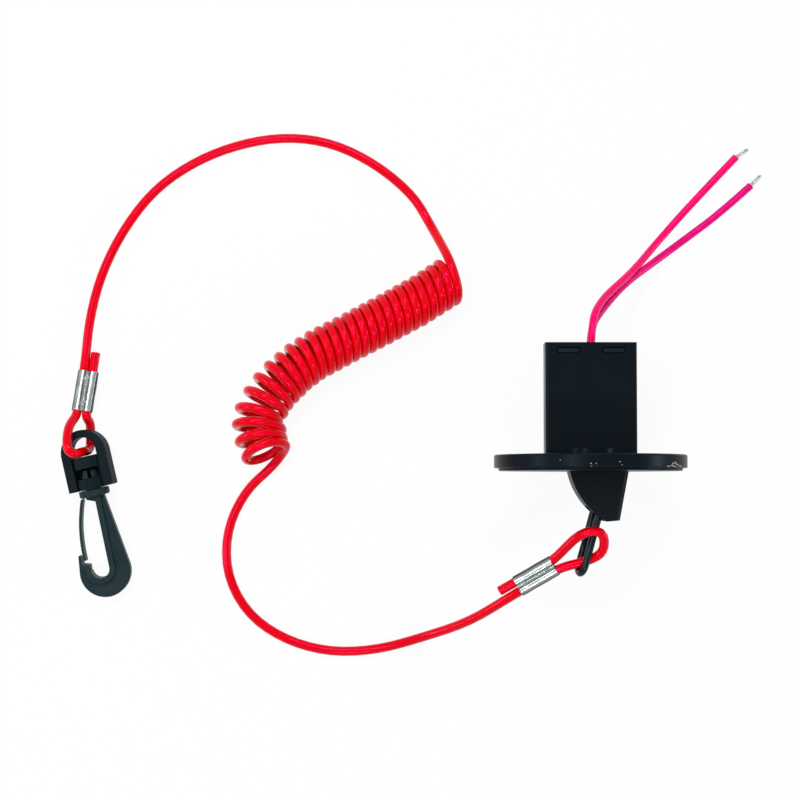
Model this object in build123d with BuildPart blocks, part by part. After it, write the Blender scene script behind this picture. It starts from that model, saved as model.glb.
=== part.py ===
"""Ignition cut-off switch with a coiled safety lanyard, a snap hook and two lead wires.

Millimetres, +Z up. The origin is the centre of the panel flange's back face. +Y runs back
through the panel into the switch box, and the key is pulled out towards -Y. The lanyard and the
leads lie on a level surface that the flange's rim touches, one flange radius below the origin.
"""

import os
from math import cos, pi, radians, sin, tan

from build123d import *

# Panel flange, face plate and switch box
FLANGE_DIA = 69.2
FLANGE_THICK = 4.8
RIM_ROUND = 0.7
RIM_FRONT_ROUND = 0.3
PLATE_DIA = 66.0
PLATE_THICK = 1.0
NECK_DIA = 20.8
NECK_LONG = 2.1
BOX_WIDE = 32.8
BOX_DEEP = 40.2
BOX_HIGH = 11.0
BOX_ROUND = 1.0
WALL = 1.5
FRONT_WALL = 5.8
SCREW_SPACING = 52.0
SCREW_HOLE_DIA = 4.4

# Snap windows of the rear cover, one pair on each broad side of the box
WINDOW_LONG = 8.4
WINDOW_TALL = 2.2
WINDOW_CENTRES = (-8.1, 8.1)
WINDOW_EDGE_GAP = 1.8
WINDOW_CORNER = 0.7
TAB_CLEARANCE = 0.1
TAB_PROUD = 1.3
TAB_TAPER = 12
COVER_CLEARANCE = 0.1
COVER_PLATE = 1.7
COVER_SKIRT = 2.6
COVER_SKIRT_WALL = 0.9

# Pull key: a hooded fin with a flat wedge blade
FIN_THICK = 13.6
FIN_BASE_LEFT = -7.9
FIN_BASE_RIGHT = 13.2
FIN_TIP_LEFT = 5.0
FIN_TIP_RIGHT = 9.9
FIN_LONG = 18.0
FIN_TIP_RISE = 0.4
FIN_BOW = (-3.9, 9.6)
FIN_ROUND = 0.8
FIN_BEVEL = 1.3
KEY_GAP = 0.1
BLADE_THICK = 3.0
BLADE_RIGHT = 10.6
BLADE_END_GAP = 8.2
BLADE_TIP = BOX_DEEP - BLADE_END_GAP
BLADE_SLOPE = 0.15
BLADE_CLEARANCE = 0.15

# Plunger, its spring and the contact set
PLUNGER_Y = 12.0
KEY_TRAVEL = BLADE_TIP - PLUNGER_Y
PLUNGER_NOSE = 3.0
PLUNGER_GAP = 0.25
PLUNGER_CROWN = 2.0
PLUNGER_WIDE = 5.0
PLUNGER_TOP = 3.6
PLUNGER_BOTTOM = -2.9
PLUNGER_LONG = 12.0
SPIGOT_DIA = 3.2
SPIGOT_LONG = 2.0
RIB_THICK = 1.0
RIB_DEEP = 1.8
GUIDE_CLEARANCE = 0.2
SPRING_DIA = 5.0
SPRING_WIRE = 0.55
SPRING_TURNS = 4
SPRING_CLEARANCE = 0.05
CONTACT_GAP_CLOSED = 0.1
CONTACT_SPACING = 10.0
CONTACT_DIA = 2.4
CONTACT_HIGH = 0.6
CONTACT_SHANK_DIA = 1.1
BRIDGE_THICK = 0.5
BRIDGE_WIDE = 3.2
BRIDGE_LONG = 13.2
STRIP_THICK = 0.8
STRIP_WIDE = 2.0
STRIP_FRONT_X = 1.0
STRIP_REAR_X = -3.6
TAB_WIDE = 3.0
TAB_TOP = 2.2
TAB_FACE = -2.6
LUG_REACH = 3.0

# Lead wires
LEAD_DIA = 2.8
LEAD_GAP = 0.1
LEAD_HOLE_CLEARANCE = 0.15
LEAD_SPACING = LEAD_DIA + LEAD_GAP
LEAD_HOLE_DIA = LEAD_DIA + LEAD_HOLE_CLEARANCE
LEAD_X = 0.2
UPPER_LEAD_DEPTH = 10.2
LOWER_LEAD_DEPTH = 5.7
UPPER_LEAD_INSIDE = BOX_DEEP - UPPER_LEAD_DEPTH
LOWER_LEAD_INSIDE = BOX_DEEP - LOWER_LEAD_DEPTH
CORE_DIA = 1.3
CORE_INSIDE = 3.0
CORE_TIP = 6.2

# Lanyard cord, its coil and the crimped ferrules
CORD_DIA = 3.5
COIL_DIA = 18.3
FERRULE_LONG = 15.4
FERRULE_GAP = 0.05
FERRULE_PITCH = CORD_DIA + FERRULE_GAP
FERRULE_WALL = 0.4

# Link ring in the key's pocket
LINK_WIRE = 2.6
LINK_PLAY = 0.9
LINK_REACH = 29.4
LINK_YAW = 15.5
LINK_ROLL = 15.0
LINK_CLEARANCE = 0.45
BAR_DIA = 3.0
BAR_X = 3.6
BAR_Y = -15.3
LINK_WIDE = BAR_DIA + 2 * LINK_WIRE + LINK_PLAY
POCKET_WIDE = 8.6
POCKET_PLAY = 0.8
POCKET_END_GAP = 0.65
POCKET_HIGH = LINK_WIDE + POCKET_PLAY
POCKET_DEPTH = BAR_DIA / 2 + LINK_CLEARANCE + LINK_WIRE + POCKET_END_GAP

# Swivel eye
EYE_WIDE = 17.6
EYE_TALL = 22.6
EYE_THICK = 6.0
EYE_ROUND = 0.7
EYE_EDGE_ROUND = 0.4
EYE_OPENING_WIDE = 10.2
EYE_OPENING_SILL = 12.6
EYE_BAR = 2.8
EYE_ROLL = -12.0
BARREL_DIA = 10.4
WINDOW_SILL = 4.2
WINDOW_HEAD = 8.1
WINDOW_WIDE = 9.0
SWIVEL_GAP = 0.3

# Snap hook
HOOK_LEAN = 12.5
HOOK_DIP = 3.9
HOOK_X = -182.9
HOOK_Y = -12.3
COLLAR_LIFT = 0.3
COLLAR_DIA = 11.4
COLLAR_HIGH = 2.6
COLLAR_ROUND = 0.8
COLLAR_TOP_ROUND = 0.3
PIN_DIA = 5.0
PIN_CLEARANCE = 0.3
BARB_DIA = 7.0
BARB_HIGH = 2.9
BARB_TAPER = 14
PRONG_SLOT = 1.4
WEB_THICK = 3.6
RIM_THICK = 6.6
RIM_WIDE = 2.1
RIM_INSET = 0.35
STEM_INNER_TOP = 0.1
STEM_OUTER_TOP = 3.3
ROOT_WEB_FOOT = (0.0, -4.6)
ROOT_WEB_EDGE = (-3.3, -3.3)
BOW_RADIUS = 3.45
BOW_X = -3.75
BOW_Y = -29.5
STEM_FOOT = (7.2, -30.0)
HEEL = (4.6, -37.4)
TOE = (-2.2, -40.5)
INSTEP = (-9.3, -37.4)
NOSE_BASE = (-11.7, -29.5)
NOSE_OUTER = (-10.9, -23.6)
NOSE_TIP = (-10.45, -23.15)
NOSE_INNER = (-10.15, -23.7)
NOTCH = (-9.7, -26.5)
TOOTH = (-7.3, -27.2)
RIM_TURN = (-6.5, -33.1)
RIM_OUTER = (-10.3, -27.3)
GATE_THICK = 1.0
GATE_WIDE = 5.0
GATE_ROOT = (-4.9, -3.3)
GATE_BOW = (-7.65, -13.0)
GATE_END = (-8.65, -25.4)

# Heights that follow from the sizes above
SURFACE = -FLANGE_DIA / 2
CORD_LIE = SURFACE + CORD_DIA / 2
LEAD_LIE = SURFACE + LEAD_DIA / 2
COIL_LIE = SURFACE + COIL_DIA / 2
COLLAR_LIE = SURFACE + COLLAR_DIA / 2 + COLLAR_LIFT

# Routes of the cord, the coil's axis and the leads
SWITCH_END_ROUTE = [
    (-32.4, -49.1, -6.0),
    (-12.8, -37.4, -1.1),
    (-3.4, -27.7, 6.4),
    (4.6, -26.7, 6.4),
    (5.2, -35.0, 2.6),
    (-0.8, -38.3, 0.0),
    (-8.6, -39.6, -0.5),
    (-27.6, -50.1, -5.3),
    (-43.5, -59.6, -16.5),
    (-60.0, -67.4, -28.5),
    (-76.5, -72.4, CORD_LIE),
    (-94.5, -73.4, CORD_LIE),
    (-111.5, -68.8, CORD_LIE),
    (-125.5, -59.3, CORD_LIE),
    (-133.6, -44.3, CORD_LIE),
    (-133.5, -27.3, CORD_LIE),
    (-126.5, -12.8, CORD_LIE),
    (-116.5, -1.8, CORD_LIE + 2.0),
]
HOOK_END_ROUTE = [
    (-47.5, 65.7, -29.0),
    (-53.8, 82.2, CORD_LIE),
    (-63.4, 99.0, CORD_LIE),
    (-78.1, 111.2, CORD_LIE),
    (-95.0, 119.2, CORD_LIE),
    (-112.5, 121.2, CORD_LIE),
    (-130.0, 118.2, CORD_LIE),
    (-146.5, 111.6, CORD_LIE),
    (-161.5, 101.1, CORD_LIE),
    (-173.1, 85.9, CORD_LIE),
    (-181.5, 68.7, CORD_LIE),
    (-186.5, 51.2, CORD_LIE),
    (-187.1, 35.2, -32.3),
    (-189.7, 15.9, -29.5),
    (-191.2, 12.8, -26.0),
    (-192.3, 7.6, -23.0),
    (-190.6, 0.3, -21.6),
    (-186.6, 2.1, -27.7),
    (-183.9, 3.9, CORD_LIE),
    (-184.8, 11.2, CORD_LIE),
    (-186.2, 14.6, -29.5),
    (-182.9, 39.0, CORD_LIE),
]
FERRULE_PLACES = {
    "ferrule_switch_end": ((-19.4, -43.5, -3.0), (-0.511, 0.860, 0), (0.841, 0.500, 0.208)),
    "ferrule_hook_end": ((-186.7, 24.4, -30.8), (0.991, -0.134, 0), (0.132, 0.981, -0.139)),
}
COIL_AXIS = [
    (-48.9, 66.4, COIL_LIE),
    (-99.5, 38.2, COIL_LIE),
    (-112.5, 28.7, COIL_LIE),
    (-121.5, 14.7, COIL_LIE),
    (-119.0, -2.3, COIL_LIE),
]
LEAD_ROUTES = {
    "lead_wire_1": [
        (LEAD_X, UPPER_LEAD_INSIDE, LEAD_SPACING / 2),
        (LEAD_X, 47.0, LEAD_SPACING / 2),
        (4.6, 56.5, -7.0),
        (17.6, 67.9, -20.0),
        (28.0, 80.0, -31.2),
        (42.2, 96.0, LEAD_LIE),
        (59.0, 113.5, LEAD_LIE),
    ],
    "lead_wire_2": [
        (LEAD_X, LOWER_LEAD_INSIDE, -LEAD_SPACING / 2),
        (LEAD_X, 45.6, -LEAD_SPACING / 2),
        (5.2, 53.0, -8.8),
        (14.8, 63.8, -19.8),
        (27.0, 72.0, -28.4),
        (40.5, 80.2, LEAD_LIE),
        (52.0, 88.9, LEAD_LIE),
        (64.7, 102.8, LEAD_LIE),
    ],
}

os.makedirs("parts", exist_ok=True)


def save(part, name):
    """Label a finished piece and write its STEP file."""
    part.label = name
    export_step(part, f"parts/{name}.step")


def corner_radii(points):
    """Radius of each corner of a route: 0.45 of its shorter run over the tangent of half its turn."""
    corners = [Vector(*p) for p in points]
    radii = []
    for before, corner, after in zip(corners, corners[1:], corners[2:]):
        run_in = corner - before
        run_out = after - corner
        turn = radians(run_in.get_angle(run_out))
        radii.append(0.45 * min(run_in.length, run_out.length) / tan(turn / 2))
    return radii


def report_tube(name, points, route, tube, diameter):
    """Print a tube's corner radii, its length and how well its volume fits its section."""
    ideal = pi / 4 * diameter**2 * route.length
    print(f"{name}: corner radii " + ", ".join(f"{r:.1f}" for r in corner_radii(points)))
    print(f"{name}: {route.length:.1f} mm long, volume over section times length {tube.volume / ideal:.4f}")


# Housing: flange, round neck and flat box in one moulding, open at the rear
with BuildPart() as housing:
    with BuildSketch(Plane.XZ):
        Circle(FLANGE_DIA / 2)
    extrude(amount=FLANGE_THICK)
    rim_edges = housing.edges().filter_by(GeomType.CIRCLE).sort_by(Axis.Y)
    fillet(rim_edges[-1], RIM_ROUND)
    fillet(rim_edges[0], RIM_FRONT_ROUND)
    with BuildSketch(Plane.XZ):
        Circle(NECK_DIA / 2)
    extrude(amount=-NECK_LONG)
    with BuildSketch(Plane.XZ):
        RectangleRounded(BOX_WIDE, BOX_HIGH, BOX_ROUND)
    extrude(amount=-BOX_DEEP)
    cavity_wide = BOX_WIDE - 2 * WALL
    cavity_high = BOX_HIGH - 2 * WALL
    cavity_deep = BOX_DEEP - (FRONT_WALL - FLANGE_THICK)
    with BuildSketch(Plane.XZ.offset(FLANGE_THICK - FRONT_WALL)):
        Rectangle(cavity_wide, cavity_high)
    extrude(amount=-cavity_deep, mode=Mode.SUBTRACT)
    blade_root_left = PLUNGER_NOSE - BLADE_SLOPE * (PLUNGER_Y + FLANGE_THICK)
    slot_left = blade_root_left - BLADE_CLEARANCE
    slot_right = BLADE_RIGHT + BLADE_CLEARANCE
    slot_wide = slot_right - slot_left
    slot_high = BLADE_THICK + 2 * BLADE_CLEARANCE
    with BuildSketch(Plane.XZ.offset(FLANGE_THICK)):
        with Locations(((slot_left + slot_right) / 2, 0)):
            Rectangle(slot_wide, slot_high)
    extrude(amount=-FRONT_WALL, mode=Mode.SUBTRACT)
    with BuildSketch(Plane.XZ.offset(FLANGE_THICK)):
        with GridLocations(SCREW_SPACING, 1, 2, 1):
            Circle(SCREW_HOLE_DIA / 2)
    extrude(amount=-FLANGE_THICK, mode=Mode.SUBTRACT)
    window_y = BOX_DEEP - WINDOW_EDGE_GAP - WINDOW_TALL / 2
    with BuildSketch(Plane.XY):
        with Locations(*[(x, window_y) for x in WINDOW_CENTRES]):
            Rectangle(WINDOW_LONG, WINDOW_TALL)
        chamfer(vertices().group_by(Axis.Y)[0], WINDOW_CORNER)
    extrude(amount=BOX_HIGH, both=True, mode=Mode.SUBTRACT)
    # Rail that guides the blade's straight edge
    rail_long = BLADE_TIP - (FRONT_WALL - FLANGE_THICK)
    with BuildSketch(Plane.XY.offset(-cavity_high / 2)):
        with Locations((slot_right + RIB_THICK / 2, BLADE_TIP - rail_long / 2)):
            Rectangle(RIB_THICK, rail_long)
    extrude(amount=cavity_high)
    # Two roof ribs that the plunger slides between, and the spring's seat on the side wall
    rib_shift = PLUNGER_WIDE / 2 + GUIDE_CLEARANCE + RIB_THICK / 2
    rib_long = cavity_wide / 2 + PLUNGER_NOSE - GUIDE_CLEARANCE
    with BuildSketch(Plane.XY.offset(cavity_high / 2)):
        with Locations(((rib_long - cavity_wide) / 2, PLUNGER_Y)):
            with GridLocations(1, 2 * rib_shift, 1, 2):
                Rectangle(rib_long, RIB_THICK)
    extrude(amount=-RIB_DEEP)
save(housing.part, "housing")

# Face plate: thin disc screwed over the flange, with the key's slot
with BuildPart() as face_plate:
    with BuildSketch(Plane.XZ.offset(FLANGE_THICK)):
        Circle(PLATE_DIA / 2)
        with GridLocations(SCREW_SPACING, 1, 2, 1):
            Circle(SCREW_HOLE_DIA / 2, mode=Mode.SUBTRACT)
        with Locations(((slot_left + slot_right) / 2, 0)):
            Rectangle(slot_wide + 2 * BLADE_CLEARANCE, slot_high, mode=Mode.SUBTRACT)
    extrude(amount=PLATE_THICK)
    outer_edges = face_plate.edges().filter_by(GeomType.CIRCLE).group_by(SortBy.RADIUS)[-1]
    chamfer(outer_edges.sort_by(Axis.Y)[0], PLATE_THICK / 3)
save(face_plate.part, "face_plate")

# Rear cover: a plug with a skirt, four snap tabs and the wire exit
with BuildPart() as rear_cover:
    plug_wide = cavity_wide - 2 * COVER_CLEARANCE
    plug_high = cavity_high - 2 * COVER_CLEARANCE
    with BuildSketch(Plane.XZ.offset(-BOX_DEEP)):
        Rectangle(plug_wide, plug_high)
    extrude(amount=COVER_PLATE + COVER_SKIRT)
    with BuildSketch(Plane.XZ.offset(COVER_PLATE - BOX_DEEP)):
        Rectangle(plug_wide - 2 * COVER_SKIRT_WALL, plug_high - 2 * COVER_SKIRT_WALL)
    extrude(amount=COVER_SKIRT, mode=Mode.SUBTRACT)
    with BuildSketch(Plane.XZ.offset(-BOX_DEEP)):
        with Locations((LEAD_X, 0)):
            SlotCenterToCenter(LEAD_SPACING, LEAD_HOLE_DIA, rotation=90)
    extrude(amount=COVER_PLATE + COVER_SKIRT, mode=Mode.SUBTRACT)
    tab_long = WINDOW_LONG - 2 * TAB_CLEARANCE
    tab_tall = WINDOW_TALL - 2 * TAB_CLEARANCE
    for side in (-1, 1):
        with BuildSketch(Plane.XY.offset(side * plug_high / 2)):
            with Locations(*[(x, window_y) for x in WINDOW_CENTRES]):
                Rectangle(tab_long, tab_tall)
            chamfer(vertices().group_by(Axis.Y)[0], WINDOW_CORNER)
        extrude(amount=side * TAB_PROUD, taper=TAB_TAPER)
save(rear_cover.part, "rear_cover")

# Key: fin with a link pocket and cross bar, and a wedge blade that works the plunger
link_plane = Plane(
    origin=(BAR_X, BAR_Y, 0),
    x_dir=(cos(radians(LINK_YAW)), -sin(radians(LINK_YAW)), 0),
    z_dir=(0, 0, 1),
)
fin_base = -(FLANGE_THICK + PLATE_THICK + KEY_GAP)
fin_tip = fin_base - FIN_LONG
with BuildPart() as key:
    with BuildSketch(Plane.XY):
        with BuildLine():
            ThreePointArc(
                (FIN_BASE_LEFT, fin_base),
                (FIN_BOW[0], fin_base - FIN_BOW[1]),
                (FIN_TIP_LEFT, fin_tip),
            )
            Polyline(
                (FIN_TIP_LEFT, fin_tip),
                (FIN_TIP_RIGHT, fin_tip + FIN_TIP_RISE),
                (FIN_BASE_RIGHT, fin_base),
                (FIN_BASE_LEFT, fin_base),
            )
        make_face()
        fillet(vertices().sort_by(Axis.Y)[0], FIN_ROUND)
    extrude(amount=FIN_THICK / 2, both=True)
    base_edges = key.edges().group_by(Axis.Y)[-1]
    top_edges = key.edges().group_by(Axis.Z)[-1] + key.edges().group_by(Axis.Z)[0]
    side_edges = ShapeList([e for e in top_edges if e not in base_edges])
    straight_side = side_edges.filter_by(GeomType.LINE).sort_by(Axis.X)[-2:]
    chamfer(straight_side, FIN_BEVEL)
    with BuildSketch(link_plane) as pocket_outline:
        with Locations((0, (POCKET_DEPTH - FIN_LONG) / 2)):
            Rectangle(POCKET_WIDE, POCKET_DEPTH + FIN_LONG)
    extrude(amount=POCKET_HIGH / 2, both=True, mode=Mode.SUBTRACT)
    with BuildSketch(Plane(origin=link_plane.origin, x_dir=(0, 0, 1), z_dir=link_plane.x_dir)):
        Circle(BAR_DIA / 2)
    extrude(amount=POCKET_WIDE / 2 + WALL, both=True)
    with BuildSketch(Plane.XY):
        with BuildLine():
            nose = BLADE_THICK / 2
            tip_left = PLUNGER_NOSE + BLADE_SLOPE * (BLADE_TIP - PLUNGER_Y)
            base_left = PLUNGER_NOSE + BLADE_SLOPE * (fin_base - PLUNGER_Y)
            Polyline(
                (base_left, fin_base),
                (tip_left - BLADE_SLOPE * nose, BLADE_TIP - nose),
                (tip_left + nose, BLADE_TIP),
                (BLADE_RIGHT - nose, BLADE_TIP),
                (BLADE_RIGHT, BLADE_TIP - nose),
                (BLADE_RIGHT, fin_base),
                close=True,
            )
        make_face()
    extrude(amount=BLADE_THICK / 2, both=True)
save(key.part, "key")

# Plunger: slides across the box on the blade's wedge edge, with a spigot for the spring
plunger_back = PLUNGER_NOSE - PLUNGER_LONG
contact_face = TAB_FACE - CONTACT_HIGH
bridge_face = contact_face - CONTACT_GAP_CLOSED - BLADE_SLOPE * KEY_TRAVEL - CONTACT_HIGH
with BuildPart() as plunger:
    with BuildSketch(Plane.XY.offset(PLUNGER_BOTTOM)):
        with BuildLine():
            tip = PLUNGER_NOSE - PLUNGER_GAP
            shoulder = tip - PLUNGER_CROWN
            Polyline(
                (shoulder, PLUNGER_Y + PLUNGER_WIDE / 2),
                (plunger_back, PLUNGER_Y + PLUNGER_WIDE / 2),
                (plunger_back, PLUNGER_Y - PLUNGER_WIDE / 2),
                (shoulder, PLUNGER_Y - PLUNGER_WIDE / 2),
            )
            ThreePointArc(
                (shoulder, PLUNGER_Y - PLUNGER_WIDE / 2),
                (tip, PLUNGER_Y),
                (shoulder, PLUNGER_Y + PLUNGER_WIDE / 2),
            )
        make_face()
    extrude(amount=PLUNGER_TOP - PLUNGER_BOTTOM)
    with BuildSketch(Plane.YZ.offset(plunger_back)):
        with Locations((PLUNGER_Y, 0)):
            Circle(SPIGOT_DIA / 2)
    extrude(amount=-SPIGOT_LONG)
    # Slot through which the contact bridge is pushed
    with BuildSketch(Plane.XZ.offset(-PLUNGER_Y)):
        with Locations((bridge_face - BRIDGE_THICK / 2, 0)):
            Rectangle(BRIDGE_THICK, BRIDGE_WIDE)
    extrude(amount=PLUNGER_WIDE, both=True, mode=Mode.SUBTRACT)
save(plunger.part, "plunger")

# Contact bridge: a phosphor bronze strip held in the plunger's slot
with BuildPart() as contact_bridge:
    with BuildSketch(Plane.YZ.offset(bridge_face)):
        with Locations((PLUNGER_Y, 0)):
            SlotOverall(BRIDGE_LONG, BRIDGE_WIDE)
    extrude(amount=-BRIDGE_THICK)
save(contact_bridge.part, "contact_bridge")

# Bridge contacts: two silver buttons on the strip
with BuildPart() as bridge_contacts:
    with BuildSketch(Plane.YZ.offset(bridge_face)):
        with Locations((PLUNGER_Y, 0)):
            with GridLocations(CONTACT_SPACING, 1, 2, 1):
                Circle(CONTACT_DIA / 2)
    extrude(amount=CONTACT_HIGH)
    dome_edges = bridge_contacts.edges().group_by(Axis.X)[-1]
    fillet(dome_edges, CONTACT_HIGH / 2)
save(bridge_contacts.part, "bridge_contacts")

# Terminals: stamped brass strips on the box floor, a tab for the contact and a raised lug for the core
strip_bottom = -cavity_high / 2
strip_top = strip_bottom + STRIP_THICK
tab_front_y = PLUNGER_Y - CONTACT_SPACING / 2
tab_rear_y = PLUNGER_Y + CONTACT_SPACING / 2
terminal_shapes = {
    "terminal_front": (tab_front_y, STRIP_FRONT_X, UPPER_LEAD_INSIDE, LEAD_SPACING / 2),
    "terminal_rear": (tab_rear_y, STRIP_REAR_X, LOWER_LEAD_INSIDE, -LEAD_SPACING / 2),
}
for name, (tab_y, strip_x, lead_inside, lead_z) in terminal_shapes.items():
    lug_y = lead_inside - LUG_REACH
    core_bottom = lead_z - CORE_DIA / 2
    tab_x = TAB_FACE + STRIP_THICK / 2
    foot_left = min(tab_x - STRIP_THICK / 2, strip_x - STRIP_WIDE / 2)
    foot_right = max(tab_x + STRIP_THICK / 2, strip_x + STRIP_WIDE / 2)
    jog_left = min(strip_x, LEAD_X) - STRIP_WIDE / 2
    jog_right = max(strip_x, LEAD_X) + STRIP_WIDE / 2
    with BuildPart() as terminal:
        with BuildSketch(Plane.XY.offset(strip_bottom)):
            with Locations(((foot_left + foot_right) / 2, tab_y)):
                Rectangle(foot_right - foot_left, TAB_WIDE)
            with Locations((strip_x, (tab_y + lug_y) / 2)):
                Rectangle(STRIP_WIDE, lug_y - tab_y + STRIP_WIDE)
            with Locations(((jog_left + jog_right) / 2, lug_y)):
                Rectangle(jog_right - jog_left, STRIP_WIDE)
        extrude(amount=STRIP_THICK)
        with BuildSketch(Plane.YZ.offset(TAB_FACE)):
            with Locations((tab_y, (strip_bottom + TAB_TOP) / 2)):
                Rectangle(TAB_WIDE, TAB_TOP - strip_bottom)
            with Locations((tab_y, 0)):
                Circle(CONTACT_SHANK_DIA / 2, mode=Mode.SUBTRACT)
        extrude(amount=STRIP_THICK)
        with BuildSketch(Plane.YZ.offset(LEAD_X - STRIP_WIDE / 2)):
            with BuildLine():
                Polyline(
                    (lug_y, strip_bottom),
                    (lug_y, core_bottom),
                    (lug_y + LUG_REACH, core_bottom),
                    (lug_y + LUG_REACH, core_bottom - STRIP_THICK),
                    (lug_y + STRIP_THICK, core_bottom - STRIP_THICK),
                    (lug_y + STRIP_THICK, strip_bottom),
                    close=True,
                )
            make_face()
        extrude(amount=STRIP_WIDE)
    save(terminal.part, name)

# Fixed contacts: two silver rivets in the terminal tabs
with BuildPart() as fixed_contacts:
    with BuildSketch(Plane.YZ.offset(TAB_FACE)):
        with Locations((PLUNGER_Y, 0)):
            with GridLocations(CONTACT_SPACING, 1, 2, 1):
                Circle(CONTACT_DIA / 2)
    extrude(amount=-CONTACT_HIGH)
    dome_edges = fixed_contacts.edges().group_by(Axis.X)[0]
    fillet(dome_edges, CONTACT_HIGH / 2)
    with BuildSketch(Plane.YZ.offset(TAB_FACE)):
        with Locations((PLUNGER_Y, 0)):
            with GridLocations(CONTACT_SPACING, 1, 2, 1):
                Circle(CONTACT_SHANK_DIA / 2)
    extrude(amount=STRIP_THICK)
save(fixed_contacts.part, "fixed_contacts")

# Return spring between the side wall and the plunger's shoulder
spring_room = plunger_back + cavity_wide / 2 - 2 * SPRING_CLEARANCE
spring_seat = (SPRING_CLEARANCE + SPRING_WIRE / 2 - cavity_wide / 2, PLUNGER_Y, 0)
coil_height = spring_room - SPRING_WIRE
coil_radius = (SPRING_DIA - SPRING_WIRE) / 2
with BuildPart() as return_spring:
    with BuildLine() as spring_line:
        Helix(coil_height / SPRING_TURNS, coil_height, coil_radius, center=spring_seat, direction=(1, 0, 0))
    with BuildSketch(Plane(origin=spring_line.line @ 0, z_dir=spring_line.line % 0)):
        Circle(SPRING_WIRE / 2)
    sweep(is_frenet=True)
save(return_spring.part, "return_spring")

# Lead wires: insulation, and the bared conductor at each end
for name, points in LEAD_ROUTES.items():
    with BuildPart() as lead:
        with BuildLine() as lead_line:
            FilletPolyline(*points, radius=corner_radii(points))
        with BuildSketch(Plane(origin=lead_line.line @ 0, z_dir=lead_line.line % 0)):
            Circle(LEAD_DIA / 2)
        sweep()
    report_tube(name, points, lead_line.wire(), lead.part, LEAD_DIA)
    save(lead.part, name)
    with BuildPart() as core:
        with BuildSketch(Plane(origin=lead_line.line @ 0, z_dir=lead_line.line % 0)):
            Circle(CORE_DIA / 2)
        extrude(amount=-CORE_INSIDE)
        with BuildSketch(Plane(origin=lead_line.line @ 1, z_dir=lead_line.line % 1)):
            Circle(CORE_DIA / 2)
        extrude(amount=CORE_TIP)
    save(core.part, name.replace("wire", "core"))

# Link ring: closed steel link round the key's cross bar
ring_normal = Vector(*link_plane.x_dir).rotate(Axis((0, 0, 0), link_plane.y_dir), LINK_ROLL)
ring_plane = Plane(origin=link_plane.origin, x_dir=link_plane.y_dir, z_dir=ring_normal)
ring_bend = (LINK_WIDE - LINK_WIRE) / 2
ring_inner_end = BAR_DIA / 2 + LINK_CLEARANCE + LINK_WIRE / 2
ring_top = ring_inner_end - ring_bend
ring_bottom = LINK_WIRE / 2 - LINK_REACH + ring_bend
with BuildPart() as link_ring:
    with BuildLine(ring_plane) as ring_line:
        Line((ring_bottom, ring_bend), (ring_top, ring_bend))
        ThreePointArc((ring_top, ring_bend), (ring_inner_end, 0), (ring_top, -ring_bend))
        Line((ring_top, -ring_bend), (ring_bottom, -ring_bend))
        ThreePointArc((ring_bottom, -ring_bend), (ring_bottom - ring_bend, 0), (ring_bottom, ring_bend))
    with BuildSketch(Plane(origin=ring_line.line @ 0, z_dir=ring_line.line % 0)):
        Circle(LINK_WIRE / 2)
    sweep()
save(link_ring.part, "link_ring")

# Ferrules: double-barrel sleeves crimped over the cord and its tail
for name, (centre, across, along) in FERRULE_PLACES.items():
    with BuildPart() as ferrule:
        with BuildSketch(Plane(origin=centre, x_dir=across, z_dir=along)):
            with GridLocations(FERRULE_PITCH, 1, 2, 1):
                Circle(CORD_DIA / 2 + FERRULE_WALL)
            with GridLocations(FERRULE_PITCH, 1, 2, 1):
                Circle(CORD_DIA / 2, mode=Mode.SUBTRACT)
        extrude(amount=FERRULE_LONG / 2, both=True)
    save(ferrule.part, name)

# Lanyard cord: the two free stretches as tubes, the coiled stretch as one closed shape
tube_routes = {
    "lanyard_cord_switch_end": (SWITCH_END_ROUTE, CORD_DIA),
    "lanyard_cord_hook_end": (HOOK_END_ROUTE, CORD_DIA),
    "lanyard_coil": (COIL_AXIS, COIL_DIA),
}
for name, (points, diameter) in tube_routes.items():
    with BuildPart() as tube:
        with BuildLine() as tube_line:
            FilletPolyline(*points, radius=corner_radii(points))
        with BuildSketch(Plane(origin=tube_line.line @ 0, z_dir=tube_line.line % 0)):
            Circle(diameter / 2)
        sweep()
    report_tube(name, points, tube_line.wire(), tube.part, diameter)
    save(tube.part, name)

# Planes of the snap hook and of the eye that swivels on its pin
hook_across = Vector(1, 0, 0).rotate(Axis.Z, HOOK_LEAN)
hook_along = Vector(0, 1, 0).rotate(Axis.Z, HOOK_LEAN).rotate(Axis((0, 0, 0), hook_across), HOOK_DIP)
hook_face = hook_across.cross(hook_along)
hook_plane = Plane(origin=(HOOK_X, HOOK_Y, COLLAR_LIE), x_dir=hook_across, z_dir=hook_face)
eye_plane = hook_plane.rotated((0, EYE_ROLL, 0))
pin_plane = Plane(origin=hook_plane.origin, x_dir=hook_plane.x_dir, z_dir=hook_along)

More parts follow.
